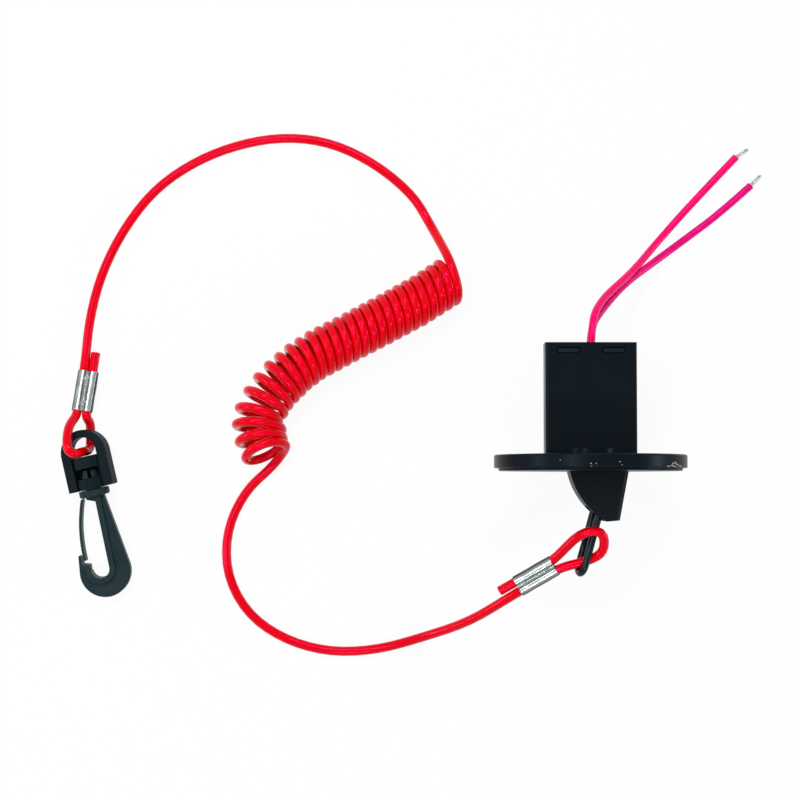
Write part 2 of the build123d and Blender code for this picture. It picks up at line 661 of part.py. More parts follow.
# Swivel eye: arched frame with a barrel between its legs, open in a window round the split pin
with BuildPart() as swivel_eye:
    opening_round = EYE_OPENING_WIDE / 2
    arch_round = EYE_WIDE / 2
    with BuildSketch(eye_plane) as eye_outline:
        with Locations((0, (SWIVEL_GAP + EYE_TALL - arch_round) / 2)):
            Rectangle(EYE_WIDE, EYE_TALL - arch_round - SWIVEL_GAP)
        with Locations((0, EYE_TALL - arch_round)):
            Circle(arch_round)
        opening_top = EYE_TALL - EYE_BAR
        with Locations((0, opening_top - opening_round)):
            Circle(opening_round, mode=Mode.SUBTRACT)
        with Locations((0, (SWIVEL_GAP + opening_top - opening_round) / 2)):
            Rectangle(EYE_OPENING_WIDE, opening_top - opening_round - SWIVEL_GAP, mode=Mode.SUBTRACT)
        fillet(vertices().group_by(Axis((0, 0, 0), hook_along))[0], EYE_ROUND)
    extrude(amount=EYE_THICK / 2, both=True)
    eye_faces = swivel_eye.faces().sort_by(Axis(eye_plane.origin, eye_plane.z_dir))
    fillet(eye_faces[-1].edges() + eye_faces[0].edges(), EYE_EDGE_ROUND)
    with BuildSketch(pin_plane.offset(SWIVEL_GAP)):
        Circle(BARREL_DIA / 2)
    extrude(amount=EYE_OPENING_SILL - SWIVEL_GAP)
    with BuildSketch(eye_plane):
        with Locations((0, (WINDOW_SILL + WINDOW_HEAD) / 2)):
            Rectangle(WINDOW_WIDE, WINDOW_HEAD - WINDOW_SILL)
    extrude(amount=BARREL_DIA, both=True, mode=Mode.SUBTRACT)
    with BuildSketch(pin_plane):
        Circle(PIN_DIA / 2 + PIN_CLEARANCE)
    extrude(amount=EYE_OPENING_SILL, mode=Mode.SUBTRACT)
save(swivel_eye.part, "swivel_eye")

# Snap hook: collar, T-section bow with a notched nose, and a split barbed pin
with BuildPart() as snap_hook:
    with BuildSketch(pin_plane):
        Circle(COLLAR_DIA / 2)
    extrude(amount=-COLLAR_HIGH)
    collar_edges = snap_hook.edges().filter_by(GeomType.CIRCLE).sort_by(Axis(pin_plane.origin, hook_along))
    fillet(collar_edges[0], COLLAR_ROUND)
    fillet(snap_hook.edges().sort_by(Axis(pin_plane.origin, hook_along))[-1], COLLAR_TOP_ROUND)
    with BuildSketch(hook_plane) as web_outline:
        with BuildLine():
            Polyline(
                (BOW_X + BOW_RADIUS, BOW_Y),
                ROOT_WEB_FOOT,
                ROOT_WEB_EDGE,
                (ROOT_WEB_EDGE[0], -COLLAR_HIGH / 2),
                (STEM_OUTER_TOP, -COLLAR_HIGH / 2),
                STEM_FOOT,
            )
            ThreePointArc(STEM_FOOT, HEEL, TOE)
            ThreePointArc(TOE, INSTEP, NOSE_BASE)
            Line(NOSE_BASE, NOSE_OUTER)
            ThreePointArc(NOSE_OUTER, NOSE_TIP, NOSE_INNER)
            bow_left = (BOW_X - BOW_RADIUS, BOW_Y)
            Polyline(NOSE_INNER, NOTCH, TOOTH, bow_left)
            ThreePointArc(bow_left, (BOW_X, BOW_Y - BOW_RADIUS), (BOW_X + BOW_RADIUS, BOW_Y))
        make_face()
    extrude(amount=WEB_THICK / 2, both=True)
    with BuildSketch(hook_plane):
        with BuildLine():
            rim_radius = BOW_RADIUS + RIM_WIDE / 2
            Line((STEM_INNER_TOP + RIM_WIDE / 2, -COLLAR_HIGH / 2), (BOW_X + rim_radius, BOW_Y))
            rim_right = BOW_X + rim_radius
            rim_left = BOW_X - rim_radius
            ThreePointArc((rim_right, BOW_Y), (BOW_X, BOW_Y - rim_radius), (rim_left, BOW_Y))
        trace(line_width=RIM_WIDE)
        with BuildLine():
            rim_start = (BOW_X - BOW_RADIUS - RIM_INSET, BOW_Y)
            Polyline(rim_start, RIM_TURN, RIM_OUTER, NOSE_TIP, NOSE_INNER, NOTCH, TOOTH, rim_start)
        make_face()
    extrude(amount=RIM_THICK / 2, both=True)
    with BuildSketch(pin_plane):
        Circle(PIN_DIA / 2)
    extrude(amount=WINDOW_SILL + SWIVEL_GAP)
    with BuildSketch(pin_plane.offset(WINDOW_SILL + SWIVEL_GAP)):
        Circle(BARB_DIA / 2)
    extrude(amount=BARB_HIGH, taper=BARB_TAPER)
    with BuildSketch(hook_plane):
        with Locations((0, WINDOW_SILL + BARB_HIGH / 2)):
            Rectangle(PRONG_SLOT, WINDOW_SILL + BARB_HIGH)
    extrude(amount=BARB_DIA, both=True, mode=Mode.SUBTRACT)
save(snap_hook.part, "snap_hook")

# Hook gate: springy strip from the collar to the notch in the nose
with BuildPart() as hook_gate:
    with BuildSketch(hook_plane):
        with BuildLine():
            ThreePointArc(GATE_ROOT, GATE_BOW, GATE_END)
        trace(line_width=GATE_THICK)
        with Locations(GATE_ROOT):
            Circle(GATE_THICK / 2)
    extrude(amount=GATE_WIDE / 2, both=True)
save(hook_gate.part, "hook_gate")
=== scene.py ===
"""Looks of the ignition cut-off switch with its coiled lanyard, snap hook and lead wires.

Everything is in metres, apart from the classes that say millimetres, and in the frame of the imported
model: +Y runs back through the panel into the switch box, the key pulls out to -Y, and the lanyard
and leads lie on a floor at z = -0.0346.
"""

import logging
import math
from dataclasses import dataclass, field
from enum import Enum

import bpy
import numpy as np
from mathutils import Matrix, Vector


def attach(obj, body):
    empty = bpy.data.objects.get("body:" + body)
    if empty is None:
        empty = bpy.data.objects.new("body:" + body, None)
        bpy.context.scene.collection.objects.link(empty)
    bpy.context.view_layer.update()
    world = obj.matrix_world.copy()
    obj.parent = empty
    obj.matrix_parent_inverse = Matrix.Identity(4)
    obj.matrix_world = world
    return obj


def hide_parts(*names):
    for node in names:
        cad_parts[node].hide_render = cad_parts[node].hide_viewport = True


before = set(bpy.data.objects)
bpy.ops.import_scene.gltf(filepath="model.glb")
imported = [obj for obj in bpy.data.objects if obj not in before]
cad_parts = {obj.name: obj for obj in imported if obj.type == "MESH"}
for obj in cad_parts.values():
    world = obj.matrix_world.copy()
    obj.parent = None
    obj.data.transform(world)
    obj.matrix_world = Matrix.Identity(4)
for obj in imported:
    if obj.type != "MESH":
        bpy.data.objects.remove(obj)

LOG = logging.getLogger("switch")
MM = 0.001
FLOOR_Z = -0.0346
LINE_STEPS = 12

Colour = tuple[float, float, float]
Point = tuple[float, float, float]


class FarEnd(Enum):
    """What a cord ends in."""

    BARE = "bare"
    FITTING = "fitting"


class RowEnds(Enum):
    """How a shell is closed past its first and last row."""

    JOINED = "joined"
    FANNED = "fanned"


def millimetres(*points: Point) -> np.ndarray:
    """Points written in millimetres, as an array in metres.

    Args:
        points: x, y and z of each point.

    Returns:
        An array of shape (count, 3).
    """
    return np.array(points, dtype=float) * MM


@dataclass(frozen=True)
class Finish:
    """A surface finish with slow patches of colour and gloss and a fine relief.

    Colours are linear. Patch, grain and grain_height are sizes in metres. The colour goes up and
    down by colour_spread of itself, and the roughness by roughness_spread.
    """

    name: str
    colour: Colour
    roughness: float
    roughness_spread: float = 0.05
    colour_spread: float = 0.06
    metallic: float = 0.0
    specular: float = 0.5
    specular_tint: Colour = (1.0, 1.0, 1.0)
    patch: float = 0.012
    grain: float = 0.0006
    grain_height: float = 0.00001
    grain_strength: float = 0.3
    patch_octaves: float = 3.0
    grain_octaves: float = 2.0
    grain_in_gloss: float = 0.25
    colour_span: tuple[float, float] = (0.35, 0.65)
    gloss_span: tuple[float, float] = (0.3, 0.7)
    least_roughness: float = 0.02

    def material(self) -> bpy.types.Material:
        """Build the finish as a material.

        Returns:
            A material whose colour and roughness drift by a slow noise, and whose normal carries a
            fine noise of the grain's size.
        """
        made = bpy.data.materials.new(self.name)
        made.use_nodes = True
        tree = made.node_tree
        shader = tree.nodes["Principled BSDF"]
        shader.inputs["Metallic"].default_value = self.metallic
        shader.inputs["Specular IOR Level"].default_value = self.specular
        shader.inputs["Specular Tint"].default_value = (*self.specular_tint, 1.0)
        where = tree.nodes.new("ShaderNodeTexCoord").outputs["Object"]
        slow = self.noise(tree, where, self.patch, self.patch_octaves)
        fine = self.noise(tree, where, self.grain, self.grain_octaves)
        tree.links.new(self.drift(tree, slow), shader.inputs["Base Color"])
        tree.links.new(self.gloss(tree, slow, fine), shader.inputs["Roughness"])
        tree.links.new(self.relief(tree, fine), shader.inputs["Normal"])
        return made

    @staticmethod
    def noise(tree: bpy.types.NodeTree, where: bpy.types.NodeSocket, size: float,
              detail: float) -> bpy.types.NodeSocket:
        """A noise whose blotches are about size metres across.

        Args:
            tree: node tree that gets the noise.
            where: coordinates it is laid on.
            size: size of a blotch, in metres.
            detail: number of finer octaves.

        Returns:
            The noise's factor socket.
        """
        node = tree.nodes.new("ShaderNodeTexNoise")
        node.inputs["Scale"].default_value = 1.0 / size
        node.inputs["Detail"].default_value = detail
        tree.links.new(where, node.inputs["Vector"])
        return node.outputs["Fac"]

    def drift(self, tree: bpy.types.NodeTree, slow: bpy.types.NodeSocket) -> bpy.types.NodeSocket:
        """Base colour that runs from a little darker to a little lighter with the slow noise.

        Args:
            tree: node tree that gets the ramp.
            slow: factor of the slow noise.

        Returns:
            The ramp's colour socket.
        """
        ramp = tree.nodes.new("ShaderNodeValToRGB")
        for element, place, side in zip(ramp.color_ramp.elements, self.colour_span, (-1, 1)):
            element.position = place
            level = 1 + side * self.colour_spread
            element.color = (*[min(1.0, channel * level) for channel in self.colour], 1.0)
        tree.links.new(slow, ramp.inputs["Fac"])
        return ramp.outputs["Color"]

    def gloss(self, tree: bpy.types.NodeTree, slow: bpy.types.NodeSocket,
              fine: bpy.types.NodeSocket) -> bpy.types.NodeSocket:
        """Roughness about its own value, by the slow noise with a share of the fine one.

        Args:
            tree: node tree that gets the nodes.
            slow: factor of the slow noise.
            fine: factor of the fine noise.

        Returns:
            The roughness socket.
        """
        mix = tree.nodes.new("ShaderNodeMix")
        mix.inputs["Factor"].default_value = self.grain_in_gloss
        tree.links.new(slow, mix.inputs["A"])
        tree.links.new(fine, mix.inputs["B"])
        spread = tree.nodes.new("ShaderNodeMapRange")
        spread.inputs["From Min"].default_value = self.gloss_span[0]
        spread.inputs["From Max"].default_value = self.gloss_span[1]
        low = max(self.least_roughness, self.roughness - self.roughness_spread)
        spread.inputs["To Min"].default_value = low
        spread.inputs["To Max"].default_value = min(1.0, self.roughness + self.roughness_spread)
        tree.links.new(mix.outputs["Result"], spread.inputs["Value"])
        return spread.outputs["Result"]

    def relief(self, tree: bpy.types.NodeTree, fine: bpy.types.NodeSocket) -> bpy.types.NodeSocket:
        """Bump of the fine noise, grain_height metres deep.

        Args:
            tree: node tree that gets the bump.
            fine: factor of the fine noise.

        Returns:
            The normal socket.
        """
        bump = tree.nodes.new("ShaderNodeBump")
        bump.inputs["Strength"].default_value = self.grain_strength
        bump.inputs["Distance"].default_value = self.grain_height
        tree.links.new(fine, bump.inputs["Height"])
        return bump.outputs["Normal"]


@dataclass(frozen=True)
class ShadedPlating(Finish):
    """A plated finish darkened and lightened by the piece's own attribute of painted shade, painted
    highlight and tool scratches.
    """

    attribute: str = "painted_shade_and_scratches"
    dark: float = 0.07
    bright: float = 2.0

    def drift(self, tree: bpy.types.NodeTree, slow: bpy.types.NodeSocket) -> bpy.types.NodeSocket:
        """The drifting colour, times bright at 0, 1 at 0.5 and dark at 1 of the attribute: bright is
        a painted highlight and dark is painted shade.

        The ramp holds half of these levels, because it stops at 1, and the product is doubled.

        Args:
            tree: node tree that gets the nodes.
            slow: factor of the slow noise.

        Returns:
            The colour socket.
        """
        plain = super().drift(tree, slow)
        held = tree.nodes.new("ShaderNodeAttribute")
        held.attribute_name = self.attribute
        curve = tree.nodes.new("ShaderNodeValToRGB")
        curve.color_ramp.elements.new(0.5)
        for element, level in zip(curve.color_ramp.elements, (self.bright / 2, 0.5, self.dark / 2)):
            element.color = (level, level, level, 1.0)
        tree.links.new(held.outputs["Fac"], curve.inputs["Fac"])
        times = tree.nodes.new("ShaderNodeVectorMath")
        times.operation = "MULTIPLY"
        tree.links.new(plain, times.inputs[0])
        tree.links.new(curve.outputs["Color"], times.inputs[1])
        double = tree.nodes.new("ShaderNodeVectorMath")
        double.operation = "SCALE"
        double.inputs["Scale"].default_value = 2.0
        tree.links.new(times.outputs[0], double.inputs[0])
        return double.outputs[0]


COOL: Colour = (0.60, 0.80, 1.0)
SWITCH_BLACK = Finish("satin_black_moulding", (0.0034, 0.0058, 0.0078), 0.30, specular=0.062,
                      specular_tint=COOL, patch=0.02, grain=0.0009, grain_height=0.000012)
PLATE_BLACK = Finish("face_plate_black", (0.0022, 0.0042, 0.0058), 0.36, specular=0.055,
                     specular_tint=COOL, patch=0.015, grain=0.0007)
COVER_BLACK = Finish("rear_cover_black", (0.0030, 0.0052, 0.0072), 0.42, specular=0.12,
                     specular_tint=(0.70, 0.90, 1.0), grain=0.0005)
KEY_BLACK = Finish("grained_key_black", (0.0048, 0.0072, 0.0092), 0.42, specular=0.07,
                   specular_tint=(0.62, 0.82, 1.0), colour_spread=0.3, patch=0.0007,
                   grain=0.00032, grain_height=0.00006, grain_strength=0.9)
RING_BLACK = Finish("black_coated_wire", (0.0018, 0.0030, 0.0042), 0.24, specular=0.20,
                    specular_tint=(0.7, 0.9, 1.0), grain=0.0005, grain_height=0.000015)
EYE_BLACK = Finish("moulded_eye_black", (0.0050, 0.0095, 0.0120), 0.44, specular=0.06,
                   specular_tint=(0.62, 0.92, 1.0), patch=0.006, grain=0.0006,
                   grain_height=0.00002)
HOOK_BLACK = Finish("moulded_hook_black", (0.0130, 0.0240, 0.0285), 0.42, specular=0.08,
                    specular_tint=(0.62, 0.95, 1.0), colour_spread=0.15, patch=0.006,
                    grain=0.0006, grain_height=0.00002)
LANYARD_RED = Finish("glossy_red_cord", (0.72, 0.0, 0.0), 0.12, roughness_spread=0.03,
                     colour_spread=0.03, specular=0.58, specular_tint=(1.0, 0.06, 0.34),
                     patch=0.02, grain=0.0012, grain_height=0.00001, grain_strength=0.2)
LEAD_RED = Finish("pink_red_insulation", (0.86, 0.002, 0.14), 0.26, colour_spread=0.05,
                  specular=0.40, specular_tint=(1.0, 0.12, 0.6), patch=0.008, grain=0.0005,
                  grain_height=0.00001)
# A darker, blotchier copy of the lead insulation for lead 2: the darkening is painted shade along
# that lead.
LEAD_SHADED = Finish("shaded_pink_insulation", (0.70, 0.002, 0.17), 0.26, colour_spread=0.12,
                   specular=0.40, specular_tint=(1.0, 0.12, 0.7), patch=0.003, grain=0.0005,
                   grain_height=0.00001)
TINNED = Finish("tinned_copper", (0.38, 0.39, 0.38), 0.46, metallic=1.0, colour_spread=0.2,
                patch=0.0012, grain=0.0002, grain_height=0.00001)
CHIP_GREY = Finish("chipped_rim_grey", (0.30, 0.325, 0.35), 0.50, roughness_spread=0.2,
                   colour_spread=0.5, patch=0.0005, grain=0.0002, grain_height=0.00003)
# The sleeves' plating: its attribute paints shade into the valley and flanks and a highlight on the
# crowns.
NICKEL = ShadedPlating("nickel_plated_sheet", (0.25, 0.28, 0.28), 0.25, roughness_spread=0.05,
                   metallic=1.0, colour_spread=0.10, patch=0.004, grain=0.0022,
                   grain_height=0.000006, grain_strength=0.08)
PLUNGER_WHITE = Finish("natural_plunger", (0.72, 0.70, 0.64), 0.42)
BRONZE = Finish("spring_bronze", (0.52, 0.30, 0.13), 0.30, metallic=1.0)
BRASS = Finish("stamped_brass", (0.66, 0.47, 0.18), 0.30, metallic=1.0)
SILVER = Finish("silver_contact", (0.80, 0.79, 0.77), 0.25, metallic=1.0)
STEEL = Finish("drawn_spring_steel", (0.45, 0.45, 0.46), 0.28, metallic=1.0)


class Wardrobe:
    """Builds each finish once and puts it on pieces."""

    def __init__(self) -> None:
        """Start with no material built."""
        self.made: dict[str, bpy.types.Material] = {}

    def of(self, finish: Finish) -> bpy.types.Material:
        """The material of a finish, built on its first use.

        Args:
            finish: the finish wanted.

        Returns:
            Its material.
        """
        if finish.name not in self.made:
            self.made[finish.name] = finish.material()
        return self.made[finish.name]

    def dress(self, piece: bpy.types.Object, finish: Finish) -> None:
        """Give a piece one finish all over."""
        piece.data.materials.clear()
        piece.data.materials.append(self.of(finish))

    def dress_node(self, node: str, finish: Finish) -> None:
        """Give a CAD node's object one finish in each of its material slots.

        Args:
            node: name of the node.
            finish: the finish it gets.
        """
        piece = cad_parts[node]
        for held in piece.material_slots:
            held.material = self.of(finish)
        if not piece.material_slots:
            piece.data.materials.append(self.of(finish))


def cord_curve(name: str, points: np.ndarray, diameter: float, steps: int = 4,
               sides: int = 6) -> bpy.types.Object:
    """A round cord along a smooth spline of order 3 with the given control points.

    Args:
        name: name of the new piece.
        points: control points in metres, shape (count, 3).
        diameter: diameter of the cord in metres.
        steps: spline steps for each control point.
        sides: bevel resolution, which gives 4 + 2 * sides faces round the cord.

    Returns:
        The curve object.
    """
    curve = bpy.data.curves.new(name, "CURVE")
    curve.dimensions = "3D"
    spline = curve.splines.new("NURBS")
    spline.points.add(len(points) - 1)
    spline.points.foreach_set("co", np.c_[points, np.ones(len(points))].ravel())
    spline.order_u = 3
    spline.use_endpoint_u = True
    spline.resolution_u = steps
    curve.resolution_u = steps
    curve.bevel_depth = diameter / 2
    curve.bevel_resolution = sides
    curve.use_fill_caps = True
    piece = bpy.data.objects.new(name, curve)
    bpy.context.scene.collection.objects.link(piece)
    return piece


def centreline(piece: bpy.types.Object) -> np.ndarray:
    """The points of a curve piece's smooth line, read from its spline with no bevel.

    Args:
        piece: a curve object.

    Returns:
        An array of shape (count, 3), in metres.
    """
    copy = piece.copy()
    copy.data = piece.data.copy()
    copy.data.bevel_depth = 0
    copy.data.resolution_u = copy.data.splines[0].resolution_u = LINE_STEPS
    line = bpy.data.meshes.new_from_object(copy)
    points = np.empty(len(line.vertices) * 3)
    line.vertices.foreach_get("co", points)
    bpy.data.meshes.remove(line)
    bare = copy.data
    bpy.data.objects.remove(copy)
    bpy.data.curves.remove(bare)
    return points.reshape(-1, 3)


def length_of(points: np.ndarray) -> float:
    """Sum of the distances from each point to the next."""
    return float(np.linalg.norm(np.diff(points, axis=0), axis=1).sum())


def shell_piece(name: str, grids: list[np.ndarray], ends: RowEnds) -> bpy.types.Object:
    """One mesh of closed shells, each a grid of points whose rows close on themselves.

    A grid of shape (rows, columns, 3) gives a face for each four neighbouring points. The last row
    joins the first, as on a ring, or a fan round the mean of the first row and of the last row
    closes the ends. The faces are turned outwards where the shell's signed volume, the sum of
    a . (b x c) over its triangles, is below 0.

    Args:
        name: name of the new piece.
        grids: the shells.
        ends: whether the first and last rows are joined or get fans.

    Returns:
        The mesh object, smooth shaded.
    """
    points, faces, start = [], [], 0
    for grid in grids:
        rows, columns = grid.shape[:2]
        local = grid.reshape(-1, 3)
        index = np.arange(rows * columns).reshape(rows, columns)
        index = np.c_[index, index[:, :1]]
        if ends is RowEnds.JOINED:
            index = np.r_[index, index[:1]]
        quads = np.stack([index[:-1, :-1], index[:-1, 1:], index[1:, 1:], index[1:, :-1]],
                         axis=-1).reshape(-1, 4)
        triangles = np.r_[quads[:, [0, 1, 2]], quads[:, [0, 2, 3]]]
        fans = np.empty((0, 3), dtype=int)
        if ends is RowEnds.FANNED:
            first, last = index[0], index[-1]
            local = np.r_[local, grid[[0, -1]].mean(axis=1)]
            middle = rows * columns
            fans = np.r_[np.c_[np.full(columns, middle), first[1:], first[:-1]],
                         np.c_[np.full(columns, middle + 1), last[:-1], last[1:]]]
        corners = local[np.r_[triangles, fans]]
        volume = np.einsum("ij,ij->", corners[:, 0], np.cross(corners[:, 1], corners[:, 2]))
        if volume < 0:
            quads, fans = quads[:, ::-1], fans[:, ::-1]
        faces += (quads + start).tolist() + (fans + start).tolist()
        points.append(local)
        start += len(local)
    mesh = bpy.data.meshes.new(name)
    mesh.from_pydata(np.concatenate(points).tolist(), [], faces)
    mesh.polygons.foreach_set("use_smooth", np.ones(len(faces), dtype=bool))
    piece = bpy.data.objects.new(name, mesh)
    bpy.context.scene.collection.objects.link(piece)
    return piece


@dataclass
class Lanyard:
    """One red cord: a loop at the key, a coil of 26 turns, and a loop at the snap hook.

    switch_end and hook_end are control points of the two free stretches. left_edge and right_edge
    are the coil's outlines in plan at the turn numbers left_turns and right_turns, and lean is how
    far the turns' crowns lean back at lean_turns. Turns count down from the switch's end.
    """

    diameter: float = 3.5 * MM
    coil_radius: float = 7.4 * MM
    coil_height: float = -25.45 * MM
    points_per_turn: int = 16
    first_turn: float = 0.3125
    last_turn: float = 26.5
    switch_end: np.ndarray = field(default_factory=lambda: millimetres(
        (-32.4, -49.1, -6.0), (-22.6, -43.3, -3.6), (-16.0, -39.4, -1.9), (-12.4, -37.0, -0.9),
        (-4.2, -27.6, 6.4), (4.0, -27.0, 6.4), (4.8, -34.7, 2.6), (-0.8, -38.1, 0.0),
        (-10.4, -40.3, -1.0), (-16.0, -43.7, -2.4), (-27.6, -50.5, -5.3), (-42.8, -60.9, -16.5),
        (-60.0, -67.4, -28.5), (-76.5, -72.4, -32.85), (-94.5, -73.4, -32.85),
        (-111.5, -68.8, -32.85), (-125.5, -59.3, -32.85), (-133.6, -44.3, -32.85),
        (-133.5, -27.3, -32.85), (-126.5, -12.8, -32.85), (-117.0, -4.4, -32.85),
        (-112.6, 0.8, -30.5)))
    hook_end: np.ndarray = field(default_factory=lambda: millimetres(
        (-49.8, 72.2, -18.6), (-53.4, 80.2, -26.2), (-57.0, 87.7, -32.6), (-63.4, 99.0, -32.85),
        (-78.1, 111.2, -32.85), (-95.0, 119.2, -32.85), (-112.5, 121.2, -32.85),
        (-130.0, 118.2, -32.85), (-146.5, 111.6, -32.85), (-161.5, 101.1, -32.85),
        (-173.1, 85.9, -32.85), (-181.5, 68.7, -32.85), (-185.8, 51.2, -32.85),
        (-187.0, 35.2, -32.3), (-189.35, 18.1, -29.87), (-189.75, 15.1, -29.45),
        (-191.8, 11.4, -25.2), (-192.0, 6.4, -22.0), (-191.5, 2.1, -20.4), (-189.0, 0.45, -21.0),
        (-186.5, 1.75, -25.8), (-184.9, 2.3, -32.6), (-184.85, 7.9, -32.85), (-185.0, 12.7, -32.6),
        (-186.15, 14.6, -29.4), (-185.8, 17.9, -29.9), (-183.2, 39.0, -32.85)))
    left_turns: np.ndarray = field(default_factory=lambda: np.array(
        [0, 4, 8, 12, 16, 18, 20, 21, 22, 23, 24, 25, 26, 27]))
    left_edge: np.ndarray = field(default_factory=lambda: millimetres(
        (-51.3, 73.7, 0), (-63.5, 65.7, 0), (-76.0, 58.8, 0), (-88.8, 52.0, 0), (-102.5, 45.1, 0),
        (-110.0, 40.3, 0), (-117.6, 33.9, 0), (-121.6, 29.5, 0), (-125.2, 24.4, 0),
        (-128.4, 18.0, 0), (-129.4, 11.6, 0), (-128.3, 5.1, 0), (-125.7, -1.1, 0),
        (-121.9, -6.7, 0)))
    right_turns: np.ndarray = field(default_factory=lambda: np.array(
        [0.5, 4.5, 8.5, 12.5, 16.5, 18.5, 20.5, 21.5, 22.5, 23.5, 24.5, 25.5, 26.5]))
    right_edge: np.ndarray = field(default_factory=lambda: millimetres(
        (-47.3, 58.1, 0), (-59.6, 50.3, 0), (-72.3, 43.5, 0), (-85.1, 36.9, 0), (-97.6, 30.1, 0),
        (-102.8, 26.2, 0), (-107.4, 21.6, 0), (-109.8, 18.9, 0), (-111.7, 15.9, 0),
        (-113.7, 12.8, 0), (-112.4, 10.1, 0), (-112.1, 7.0, 0), (-110.7, 3.7, 0)))
    lean_turns: np.ndarray = field(default_factory=lambda: np.array([0, 22, 25, 26.5]))
    lean: np.ndarray = field(default_factory=lambda: np.array([2.0, 2.0, 2.5, 3.6]) * MM)

    def coil_points(self) -> np.ndarray:
        """Control points of the coil's turns, from the switch's end to the hook's.

        The turn number t falls evenly. Left and right edge are the coil's two outlines in plan, at
        mid height, read at t. A point is their mean, less cos(2 pi t) times half their distance, so
        the cord is at the left edge at whole turns and at the right edge half a turn on. Its height
        is sin(2 pi t) times the radius, and the crown leans back along the coil by lean times
        sin(2 pi t). Both swings are divided by 0.75 + 0.25 cos(turn step), because a spline of
        order 3 runs that much inside a circle's control points.

        Returns:
            An array of shape (count, 3), in metres.
        """
        count = int(round((self.last_turn - self.first_turn) * self.points_per_turn)) + 1
        turn = np.linspace(self.last_turn, self.first_turn, count)
        left = self.edge(turn, self.left_turns, self.left_edge)
        right = self.edge(turn, self.right_turns, self.right_edge)
        middle = (left + right) / 2
        back = np.gradient(middle, axis=0)
        back /= np.linalg.norm(back, axis=1, keepdims=True)
        inside = 0.75 + 0.25 * math.cos(2 * math.pi / self.points_per_turn)
        swing = np.cos(2 * np.pi * turn)[:, None] / inside
        lift = np.sin(2 * np.pi * turn)[:, None] / inside
        lean = np.interp(turn, self.lean_turns, self.lean)[:, None]
        points = middle - swing * (right - left) / 2 + lift * lean * back
        points[:, 2] = self.coil_height + self.coil_radius * lift[:, 0]
        return points

    @staticmethod
    def edge(turn: np.ndarray, turns: np.ndarray, places: np.ndarray) -> np.ndarray:
        """Places of shape (count, 3) at the given turn numbers, read between the known turns."""
        return np.stack([np.interp(turn, turns, places[:, axis]) for axis in range(3)], axis=1)

    def build(self, wardrobe: Wardrobe, fittings: list[bpy.types.Object]) -> bpy.types.Object:
        """Args:
            wardrobe: holder of the finishes.
            fittings: the two crimped sleeves on it and the back wall of the eye; not used.

        Returns:
            The cord's curve object.
        """
        points = np.concatenate([self.switch_end, self.coil_points(), self.hook_end])
        piece = cord_curve("lanyard_cord", points, self.diameter)
        wardrobe.dress(piece, LANYARD_RED)
        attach(piece, "lanyard")
        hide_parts("lanyard_cord_switch_end", "lanyard_cord_hook_end", "lanyard_coil")
        length = length_of(centreline(piece))
        LOG.info("lanyard_cord: %d control points, %.4f m long", len(points), length)
        return piece


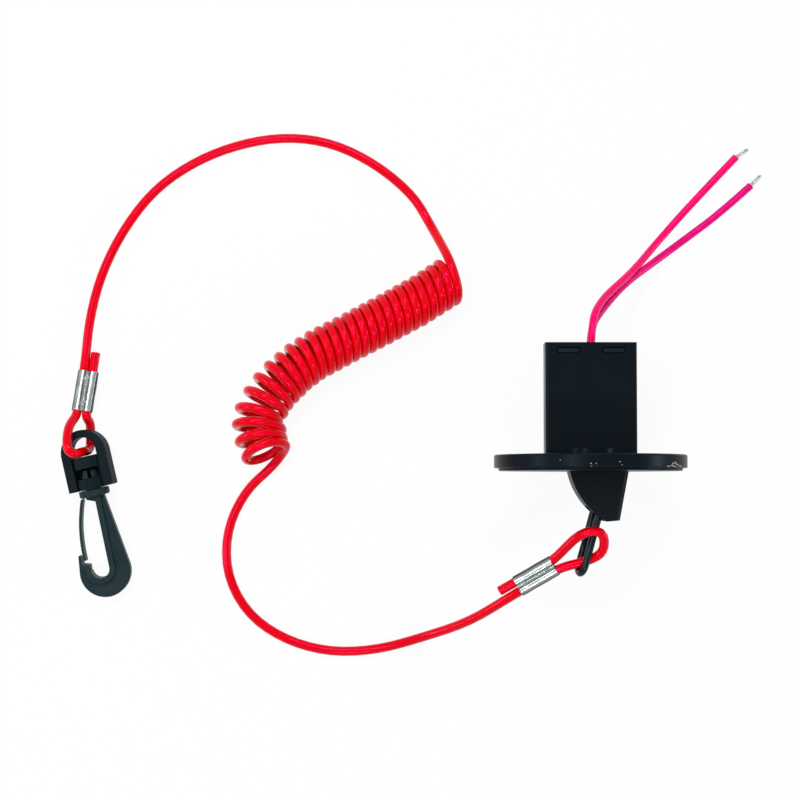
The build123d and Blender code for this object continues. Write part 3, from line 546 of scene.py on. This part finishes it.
@dataclass
class Ferrule:
    """A plated sleeve with two barrels, crimped over the cord and its tail, in millimetres.

    middle is the sleeve's middle, across runs from barrel to barrel and along runs with the cord.
    The groove is the valley between the barrels, a dent is a bite of the crimping tool in it, and
    the places and widths of wall, flank and crown, where the plating gets painted shade on the
    valley's walls and flanks and a painted highlight on the crowns, are measured across from the
    valley's middle.
    """

    name: str
    middle: Point
    across: Point
    along: Point
    length: float = 15.4
    half_pitch: float = 1.775
    outer_radius: float = 2.15
    inner_radius: float = 1.79
    groove: float = 0.62
    groove_half_width: float = 0.8
    dent: float = 0.42
    dent_places: tuple[float, ...] = (-4.7, 4.7)
    dent_half_length: float = 0.75
    lip: float = 0.22
    lip_steps: int = 9
    wave: float = 0.03
    ripple: float = 0.008
    # wall, flank and crown place painted shade on the valley's walls and flanks and a painted
    # highlight on the crowns
    wall_place: float = 0.95
    wall_half_width: float = 0.24
    wall_shade: float = 0.48
    flank_place: float = 2.9
    flank_width: float = 0.9
    flank_shade: float = 0.45
    crown_place: float = 2.0
    crown_half_width: float = 0.45
    crown_highlight: float = 0.18
    bite_half_length: float = 1.0
    bite_bright: float = 0.75
    rows: int = 96
    columns: int = 96

    def build(self, wardrobe: Wardrobe) -> bpy.types.Object:
        """Make the sleeve in place of its node and dress it.

        Args:
            wardrobe: holder of the finishes.

        Returns:
            The mesh object.
        """
        grid, painted_shade_and_scratches = self.surface()
        name = self.name.replace("ferrule", "crimped_sleeve")
        piece = shell_piece(name, [grid], RowEnds.JOINED)
        # the attribute carries painted shade and painted highlight for the plating's colour, with the
        # tool's scratches
        held = piece.data.attributes.new(NICKEL.attribute, "FLOAT", "POINT")
        held.data.foreach_set("value", painted_shade_and_scratches.ravel())
        wardrobe.dress(piece, NICKEL)
        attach(piece, "lanyard")
        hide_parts(self.name)
        LOG.info("%s: %d faces", piece.name, len(piece.data.polygons))
        return piece

    def surface(self) -> tuple[np.ndarray, np.ndarray]:
        """Points of the sleeve's whole skin, out along the outside and back along the bore.

        A row is a section. Its share of the bore's profile runs 0 outside, up to 1 over the rounded
        lip as (1 - cos) / 2, 1 along the bore, and back. On the lip the place along the sleeve is
        half the length, less the lip's radius times 1 - sin of the same turn.

        Returns:
            The points, of shape (rows, columns, 3) in metres, and each point's painted shade, painted
            highlight and tool scratches, of shape (rows, columns).
        """
        half = self.length / 2
        run = np.linspace(self.lip - half, half - self.lip, self.rows)
        turn = np.linspace(0, np.pi, self.lip_steps)[1:-1]
        lip_place = half - self.lip + self.lip * np.sin(turn)
        lip_share = (1 - np.cos(turn)) / 2
        place = np.concatenate([run, lip_place, run[::-1], -lip_place[::-1]])
        share = np.concatenate(
            [np.zeros(self.rows), lip_share, np.ones(self.rows), lip_share[::-1]])
        angle = np.linspace(0, 2 * np.pi, self.columns, endpoint=False)
        radius = self.outside(angle, place[:, None])
        # painted shade on the valley's walls and flanks, a painted highlight on the crowns, and the
        # tool's scratches
        painted_shade_and_scratches = self.painted_shade_and_scratches(radius * np.cos(angle), place[:, None])
        radius += share[:, None] * (self.bore(angle) - radius)
        across, along = Vector(self.across).normalized(), Vector(self.along).normalized()
        upward = np.array(along.cross(across))
        ray = np.cos(angle)[:, None] * np.array(across) + np.sin(angle)[:, None] * upward
        reach = radius[..., None] * ray
        points = np.array(self.middle) + reach + place[:, None, None] * np.array(along)
        return points * MM, painted_shade_and_scratches

    def painted_shade_and_scratches(self, across: np.ndarray, place: np.ndarray) -> np.ndarray:
        """How dark the plating is, from 0, bright, to 1, dark, over the sleeve's outside.

        It starts from 0.5. A bell round wall_place, on each side of the valley's middle, darkens
        the valley's walls as painted shade, and a smooth step that starts at flank_place darkens the
        flanks as painted shade. A bell round crown_place brightens the barrels' crowns as a painted
        highlight. Where the tool bit, a flat-topped bell of the place times a fine wave across and
        along leaves bright scratches up to the crowns.

        Args:
            across: places across the sleeve in millimetres, shape (rows, columns).
            place: places along it in millimetres, shape (rows, 1).

        Returns:
            An array of shape (rows, columns).
        """
        side = np.abs(across)
        walls = np.exp(-((side - self.wall_place) / self.wall_half_width)**2)
        flank = np.clip((side - self.flank_place) / self.flank_width, 0.0, 1.0)
        flank = flank**2 * (3 - 2 * flank)
        crown = np.exp(-((side - self.crown_place) / self.crown_half_width)**2)
        bite = sum(np.exp(-((place - at) / self.bite_half_length)**4) for at in self.dent_places)
        bite = bite * (side < self.crown_place)
        scratch = np.sin(11 * across + 3 * np.sin(5 * place)) * np.sin(9 * place + 4 * across)
        # painted shade on walls and flanks; painted highlight on the crowns, plus the tool's
        # scratches
        dark = self.wall_shade * walls + self.flank_shade * flank
        bright = self.crown_highlight * crown + self.bite_bright * bite * np.maximum(scratch, 0.0)
        return np.clip(0.5 + dark - bright, 0.0, 1.0)

    def outside(self, angle: np.ndarray, place: np.ndarray) -> np.ndarray:
        """Distance of the outside from the sleeve's axis, at an angle and a place along it.

        It is a stadium round both barrels: the radius over |sin| on the flat sides, and half pitch
        times |cos| plus the root of radius squared less (half pitch times sin) squared at the
        ends. The valley is a bell of the place across, groove deep, and each dent adds a bell of
        the place along. A wave and a ripple, both sines of angle and place, keep it from looking
        turned.

        Args:
            angle: angles round the axis, shape (columns,).
            place: places along the axis in millimetres, shape (rows, 1).

        Returns:
            An array of shape (rows, columns), in millimetres.
        """
        cosine, sine = np.abs(np.cos(angle)), np.maximum(np.abs(np.sin(angle)), 1e-6)
        rounded = self.half_pitch * cosine + np.sqrt(self.outer_radius**2 - np.minimum(
            self.half_pitch * sine, self.outer_radius)**2)
        flat = self.outer_radius / sine
        stadium = np.where(flat * cosine <= self.half_pitch, flat, rounded)
        valley = np.exp(-(stadium * cosine / self.groove_half_width)**2)
        dents = sum(np.exp(-((place - at) / self.dent_half_length)**2) for at in self.dent_places)
        wave = self.wave * np.sin(0.7 * place + 2 * angle)
        ripple = self.ripple * np.sin(1.7 * place - 3 * angle)
        return stadium - valley * (self.groove + self.dent * dents) + wave + ripple

    def bore(self, angle: np.ndarray) -> np.ndarray:
        """Distance of the two bores' wall from the axis: half pitch times |cos| plus the same root.

        Args:
            angle: angles round the axis, shape (columns,).

        Returns:
            An array of shape (columns,), in millimetres.
        """
        sine = np.abs(np.sin(angle))
        depth = self.inner_radius**2 - (self.half_pitch * sine)**2
        return self.half_pitch * np.abs(np.cos(angle)) + np.sqrt(np.maximum(depth, 0.0))


@dataclass
class EyeBackWall:
    """The closed rear of the swivel eye's barrel, behind its window, in millimetres.

    along is the barrel's axis from origin, across lies in the eye's face, and roll and half_turn
    are angles in degrees. low and high are the wall's ends along the axis.
    """

    origin: Point = (-182.9, -12.3, -28.6)
    across: Point = (0.976, 0.216, 0.0)
    along: Point = (-0.21594, 0.97404, 0.06802)
    roll: float = -12.0
    low: float = 4.15
    high: float = 8.15
    inner_radius: float = 3.95
    outer_radius: float = 5.15
    half_turn: float = 84.0
    steps: int = 40

    def build(self, wardrobe: Wardrobe) -> bpy.types.Object:
        """Make the wall, a rectangle carried round part of a circle, and dress it.

        A section at an angle from the rear is at radius times (sin of the angle to the right, less
        cos of the angle to the front), with its four corners at the inner and outer radius.

        Args:
            wardrobe: holder of the finishes.

        Returns:
            The mesh object.
        """
        across, along = Vector(self.across).normalized(), Vector(self.along).normalized()
        face = across.cross(along)
        turned = math.radians(self.roll)
        right = np.array(across) * math.cos(turned) - np.array(face) * math.sin(turned)
        front = np.array(face) * math.cos(turned) + np.array(across) * math.sin(turned)
        angle = np.radians(np.linspace(-self.half_turn, self.half_turn, self.steps))[:, None, None]
        inner, outer = self.inner_radius, self.outer_radius
        radius = np.array((inner, outer, outer, inner))
        height = np.array((self.low, self.low, self.high, self.high))
        ring = radius[:, None] * (np.sin(angle) * right - np.cos(angle) * front)
        points = np.array(self.origin) + ring + height[:, None] * np.array(along)
        piece = shell_piece("eye_back_wall", [points * MM], RowEnds.FANNED)
        flat = np.zeros(len(piece.data.polygons), dtype=bool)
        piece.data.polygons.foreach_set("use_smooth", flat)
        wardrobe.dress(piece, EYE_BLACK)
        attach(piece, "lanyard")
        LOG.info("%s: %d faces", piece.name, len(piece.data.polygons))
        return piece


@dataclass
class BaredEnd:
    """Seven tinned strands twisted round each other.

    radius is the bundle's where it leaves the insulation, inner_radius its end's inside the box and
    tip_radius its outer tip's.
    """

    radius: float = 0.80 * MM
    inner_radius: float = 0.80 * MM * 0.88
    tip_radius: float = 0.5 * MM
    tip_fray: float = 0.16 * MM
    uneven_fray: float = 0.5
    shorter: float = 0.045
    twist_pitch: float = 8.5 * MM
    rows: int = 40
    columns: int = 10

    def strands(self, start: np.ndarray, direction: np.ndarray, length: float, end_radius: float,
                fray: float) -> list[np.ndarray]:
        """Skins of one strand on the axis and six round it.

        A strand's own radius is a third of the bundle's. An outer one runs two of its radii from
        the axis at an angle that grows by a full turn over the pitch. The bundle's radius falls
        evenly from radius to end_radius, and near the tip each strand leaves the bundle by fray
        times the cube of the share of the way, unevenly from strand to strand. Two of each three
        strands are a little shorter.

        Args:
            start: where the strands come out, in metres.
            direction: unit vector along the strands.
            length: length of the strands, in metres.
            end_radius: radius of the bundle at its end, in metres.
            fray: how far the strands spread at the tip, in metres.

        Returns:
            Seven arrays of shape (rows, columns, 3).
        """
        share = np.linspace(0, 1, self.rows)[:, None, None]
        angle = np.linspace(0, 2 * np.pi, self.columns, endpoint=False)[None, :, None]
        side = np.cross(direction, (0.0, 0.0, 1.0))
        side /= np.linalg.norm(side)
        up = np.cross(side, direction)
        strand = (self.radius + (end_radius - self.radius) * share) / 3
        around = strand * (np.cos(angle) * side + np.sin(angle) * up)
        skins = [start + share * length * direction + around]
        for number in range(6):
            turn = number * np.pi / 3 + 2 * np.pi * share * length / self.twist_pitch
            own = 1 + self.uneven_fray * math.sin(2.4 * number + 0.7)
            out = 2 * strand + fray * own * share**3
            place = out * (np.cos(turn) * side + np.sin(turn) * up)
            reach = share * length * (1 - self.shorter * (number % 3))
            skins.append(start + reach * direction + place + around)
        return skins


@dataclass
class Leads:
    """The two lead wires out of the box's rear, each with a bared, twisted end.

    inner_bared and tip_bared are the bared lengths at both ends, overlap is how far the strands
    reach into the insulation, and tip_turns are the outer ends' turns in plan, in degrees.
    """

    diameter: float = 2.8 * MM
    length_1: float = 0.1162
    length_2: float = 0.1067
    inner_bared: float = 3.0 * MM
    tip_bared: float = 5.5 * MM
    overlap: float = 0.6 * MM
    steps: int = 16
    tip_turns: tuple[float, float] = (-12.0, 3.0)
    bared: BaredEnd = field(default_factory=BaredEnd)
    route_1: np.ndarray = field(default_factory=lambda: millimetres(
        (0.2, 30.0, 1.45), (0.2, 47.0, 1.45), (4.6, 56.5, -7.0), (17.6, 67.9, -20.0),
        (28.0, 80.0, -31.2), (42.2, 96.0, -33.2), (59.0, 113.5, -33.2)))
    route_2: np.ndarray = field(default_factory=lambda: millimetres(
        (0.2, 34.5, -1.45), (0.2, 45.6, -1.45), (5.2, 53.0, -8.8), (14.8, 63.8, -19.8),
        (27.0, 72.9, -28.4), (39.9, 82.5, -33.2), (52.8, 92.1, -33.2), (64.5, 102.6, -33.2)))

    def build(self, wardrobe: Wardrobe) -> list[bpy.types.Object]:
        """Args:
            wardrobe: holder of the finishes.

        Returns:
            The two curve objects.
        """
        made = []
        # lead 2 gets the darker copy of the insulation, as painted shade
        wanted = ((1, self.route_1, self.length_1, LEAD_RED),
                  (2, self.route_2, self.length_2, LEAD_SHADED))
        for number, route, length, finish in wanted:
            piece = cord_curve(f"lead_{number}", route, self.diameter, steps=self.steps)
            wardrobe.dress(piece, finish)
            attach(piece, "switch")
            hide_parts(f"lead_wire_{number}")
            line = centreline(piece)
            ends = self.bared_ends(number, line, wardrobe)
            LOG.info("lead_%d: %.4f m long", number, length_of(line))
            made.append(piece)
        return made

    def bared_ends(self, number: int, line: np.ndarray, wardrobe: Wardrobe) -> bpy.types.Object:
        """Make the strands at both ends of a lead, in place of its core.

        They carry the line's first and last direction on, and the outer end is turned in plan.

        Args:
            number: 1 or 2.
            line: points of the lead's smooth line, in metres.
            wardrobe: holder of the finishes.

        Returns:
            The mesh object.
        """
        inwards = line[0] - line[1]
        inwards /= np.linalg.norm(inwards)
        outwards = line[-1] - line[-2]
        outwards /= np.linalg.norm(outwards)
        turn = math.radians(self.tip_turns[number - 1])
        turned = np.array((outwards[0] * math.cos(turn) - outwards[1] * math.sin(turn),
                           outwards[0] * math.sin(turn) + outwards[1] * math.cos(turn),
                           outwards[2]))
        bared = self.bared
        inner = bared.strands(line[0] - inwards * self.overlap, inwards,
                              self.inner_bared + self.overlap, bared.inner_radius, 0.0)
        tip = bared.strands(line[-1] - outwards * self.overlap, turned,
                            self.tip_bared + self.overlap, bared.tip_radius, bared.tip_fray)
        ends = shell_piece(f"bared_ends_{number}", inner + tip, RowEnds.FANNED)
        wardrobe.dress(ends, TINNED)
        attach(ends, "switch")
        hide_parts(f"lead_core_{number}")
        LOG.info("%s: %d faces", ends.name, len(ends.data.polygons))
        return ends


@dataclass
class RimChips:
    """Small bright chips and a run of rough flash on the flange's rim, in millimetres.

    A place holds a chip's x, its y, half its length along the rim and half its width across it.
    """

    rim_radius: float = 34.6
    sink: float = 0.10
    height: float = 0.15
    uneven: float = 0.35
    pole_turn: float = 0.12
    places: tuple[tuple[float, float, float, float], ...] = (
        (-3.1, -3.6, 0.34, 0.24), (-1.4, -3.6, 0.30, 0.22), (-3.0, -4.5, 0.26, 0.16),
        (6.8, -3.0, 0.40, 0.20), (7.6, -4.0, 0.28, 0.18), (-13.4, -2.3, 0.24, 0.18),
        (24.9, -4.4, 1.3, 0.20), (26.2, -4.1, 1.0, 0.26), (26.7, -3.5, 0.8, 0.34),
        (27.3, -3.0, 0.6, 0.30), (27.9, -3.3, 0.7, 0.36), (28.6, -3.8, 1.0, 0.30),
        (29.6, -4.2, 1.0, 0.24), (27.4, -4.4, 1.8, 0.20), (30.4, -4.4, 0.8, 0.18))
    rows: int = 10
    columns: int = 14

    def build(self, wardrobe: Wardrobe) -> bpy.types.Object:
        """Make the chips as one piece and dress it.

        Args:
            wardrobe: holder of the finishes.

        Returns:
            The mesh object.
        """
        chips = [self.chip(*place) for place in self.places]
        piece = shell_piece("rim_chips", chips, RowEnds.FANNED)
        wardrobe.dress(piece, CHIP_GREY)
        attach(piece, "switch")
        LOG.info("%s: %d faces", piece.name, len(piece.data.polygons))
        return piece

    def chip(self, across: float, back: float, half_long: float, half_wide: float) -> np.ndarray:
        """Skin of one flat, uneven ellipsoid half sunk in the rim.

        The angle down from one pole gives the place along the rim, half_long times its cosine. The
        sine gives the share of half_wide and of height, and a wave of the turn round the long axis
        makes the width uneven.

        Args:
            across: x of the chip's middle, in millimetres.
            back: y of the chip's middle, in millimetres.
            half_long: half its length along the rim, in millimetres.
            half_wide: half its width across the rim, in millimetres.

        Returns:
            An array of shape (rows, columns, 3), in metres.
        """
        down = np.linspace(self.pole_turn, math.pi - self.pole_turn, self.rows)[:, None]
        turn = np.linspace(0, 2 * math.pi, self.columns, endpoint=False)[None, :]
        uneven = 1 + self.uneven * np.sin(3 * turn + 7 * across + 4 * down)
        along = half_long * np.cos(down) * np.ones_like(turn)
        wide = half_wide * np.sin(down) * np.cos(turn) * uneven
        high = self.height * np.sin(down) * np.sin(turn)
        angle = math.asin(across / self.rim_radius) + along / self.rim_radius
        radius = self.rim_radius - self.sink + high
        return np.stack([radius * np.sin(angle), back + wide, radius * np.cos(angle)], axis=-1) * MM


@dataclass
class RigidPieces:
    """The CAD pieces that keep their shape and get their finish."""

    finishes: dict[str, Finish] = field(default_factory=lambda: {
        "housing": SWITCH_BLACK, "face_plate": PLATE_BLACK, "rear_cover": COVER_BLACK,
        "key": KEY_BLACK, "plunger": PLUNGER_WHITE, "contact_bridge": BRONZE,
        "bridge_contacts": SILVER, "terminal_front": BRASS, "terminal_rear": BRASS,
        "fixed_contacts": SILVER, "return_spring": STEEL, "link_ring": RING_BLACK,
        "swivel_eye": EYE_BLACK, "snap_hook": HOOK_BLACK, "hook_gate": HOOK_BLACK})

    def build(self, wardrobe: Wardrobe) -> None:
        """Dress every piece of the table.

        Args:
            wardrobe: holder of the finishes.
        """
        for node, finish in self.finishes.items():
            wardrobe.dress_node(node, finish)
            LOG.info("%s: %s", node, finish.name)


@dataclass
class Studio:
    """Pale floor, soft lamps on four sides and overhead, and the camera almost straight above.

    A lamp has a name, its place from the aim, its width and height, and its power in watts.
    """

    camera_place: Point = (-0.0684, -0.01304, 0.7)
    camera_aim: Point = (-0.0684, 0.01972, 0.0)
    lens: float = 87.6
    nearest: float = 0.01
    floor_size: float = 6.0
    floor_colour: Colour = (0.86, 0.86, 0.86)
    floor_white: float = 0.93
    world_level: float = 0.17
    aim: Point = (-0.05, 0.02, -0.03)
    lamps: tuple[tuple[str, Point, tuple[float, float], float], ...] = (
        ("lamp_back", (0.0, 0.57, 0.82), (0.42, 0.10), 3.6),
        ("lamp_front", (0.08, -0.57, 0.82), (0.42, 0.10), 3.4),
        ("lamp_left", (-0.90, 0.0, 0.44), (0.46, 0.15), 2.2),
        ("lamp_right", (0.98, 0.0, 0.21), (0.46, 0.18), 2.8),
        ("lamp_strip", (-0.34, 0.14, 0.92), (0.60, 0.055), 3.4),
    )

    def build(self) -> None:
        """Make the floor, the world, the lamps and the camera."""
        self.floor()
        self.world()
        for name, direction, size, power in self.lamps:
            self.lamp(name, direction, size, power)
        self.camera()
        bpy.context.scene.view_settings.view_transform = "Standard"

    def floor(self) -> None:
        """A square sheet under everything, lifted towards white where the camera sees it."""
        half = self.floor_size / 2
        corners = [(-half, -half, FLOOR_Z), (half, -half, FLOOR_Z), (half, half, FLOOR_Z),
                   (-half, half, FLOOR_Z)]
        sheet = bpy.data.meshes.new("floor")
        sheet.from_pydata(corners, [], [(0, 1, 2, 3)])
        floor = bpy.data.objects.new("floor", sheet)
        bpy.context.scene.collection.objects.link(floor)
        paint = bpy.data.materials.new("pale_floor")
        paint.use_nodes = True
        tree = paint.node_tree
        tree.nodes.remove(tree.nodes["Principled BSDF"])
        matte = tree.nodes.new("ShaderNodeBsdfDiffuse")
        matte.inputs["Color"].default_value = (*self.floor_colour, 1.0)
        white = tree.nodes.new("ShaderNodeEmission")
        seen = self.seen_or_mirrored(tree)
        share = tree.nodes.new("ShaderNodeMath")
        share.operation = "MULTIPLY"
        share.inputs[1].default_value = self.floor_white
        tree.links.new(seen, share.inputs[0])
        mix = tree.nodes.new("ShaderNodeMixShader")
        tree.links.new(share.outputs[0], mix.inputs["Fac"])
        tree.links.new(matte.outputs[0], mix.inputs[1])
        tree.links.new(white.outputs[0], mix.inputs[2])
        tree.links.new(mix.outputs[0], tree.nodes["Material Output"].inputs["Surface"])
        sheet.materials.append(paint)

    @staticmethod
    def seen_or_mirrored(tree: bpy.types.NodeTree) -> bpy.types.NodeSocket:
        """1 on rays from the camera and on mirrored or refracted rays, and 0 on the rest.

        Args:
            tree: node tree that gets the nodes.

        Returns:
            The socket with that value.
        """
        path = tree.nodes.new("ShaderNodeLightPath")
        total = path.outputs["Is Camera Ray"]
        for kind in ("Is Glossy Ray", "Is Transmission Ray"):
            either = tree.nodes.new("ShaderNodeMath")
            either.operation = "MAXIMUM"
            tree.links.new(total, either.inputs[0])
            tree.links.new(path.outputs[kind], either.inputs[1])
            total = either.outputs[0]
        return total

    def world(self) -> None:
        """An even grey sky for the light, white where the camera looks past the floor."""
        sky = bpy.data.worlds.new("sky")
        sky.use_nodes = True
        tree = sky.node_tree
        background = tree.nodes["Background"]
        background.inputs["Color"].default_value = (1.0, 1.0, 1.0, 1.0)
        level = tree.nodes.new("ShaderNodeMapRange")
        level.inputs["To Min"].default_value = self.world_level
        level.inputs["To Max"].default_value = 1.0
        tree.links.new(self.seen_or_mirrored(tree), level.inputs["Value"])
        tree.links.new(level.outputs["Result"], background.inputs["Strength"])
        bpy.context.scene.world = sky

    def lamp(self, name: str, direction: Point, size: tuple[float, float], power: float) -> None:
        """A rectangular soft lamp that faces the object.

        Args:
            name: name of the lamp.
            direction: its place from the point it faces, in metres.
            size: its width and height, in metres.
            power: its power in watts.
        """
        light = bpy.data.lights.new(name, "AREA")
        light.shape = "RECTANGLE"
        light.size, light.size_y = size
        light.energy = power
        lamp = bpy.data.objects.new(name, light)
        lamp.location = Vector(self.aim) + Vector(direction)
        lamp.rotation_mode = "QUATERNION"
        lamp.rotation_quaternion = (-Vector(direction)).to_track_quat("-Z", "Y")
        bpy.context.scene.collection.objects.link(lamp)

    def camera(self) -> None:
        """The photograph's camera, which looks almost straight down."""
        lens = bpy.data.cameras.new("camera")
        lens.lens = self.lens
        lens.clip_start = self.nearest
        camera = bpy.data.objects.new("camera", lens)
        camera.location = self.camera_place
        camera.rotation_mode = "QUATERNION"
        gaze = Vector(self.camera_aim) - Vector(self.camera_place)
        camera.rotation_quaternion = gaze.to_track_quat("-Z", "Y")
        bpy.context.scene.collection.objects.link(camera)
        bpy.context.scene.camera = camera


def main() -> None:
    """Build and dress every sub-assembly, then the studio."""
    logging.basicConfig(level=logging.INFO, format="%(name)s: %(message)s")
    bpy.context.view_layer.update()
    wardrobe = Wardrobe()
    RigidPieces().build(wardrobe)
    sleeve_by_key = Ferrule("ferrule_switch_end", middle=(-19.4, -43.5, -3.0),
                            across=(-0.511, 0.860, 0.0), along=(0.841, 0.500, 0.208))
    sleeve_by_hook = Ferrule("ferrule_hook_end", middle=(-186.7, 24.4, -30.8),
                             across=(0.991, -0.134, 0.0), along=(0.132, 0.981, -0.139))
    fittings = [part.build(wardrobe) for part in (sleeve_by_key, sleeve_by_hook, EyeBackWall())]
    Lanyard().build(wardrobe, fittings)
    Leads().build(wardrobe)
    RimChips().build(wardrobe)
    Studio().build()


if __name__ == "__main__":
    main()
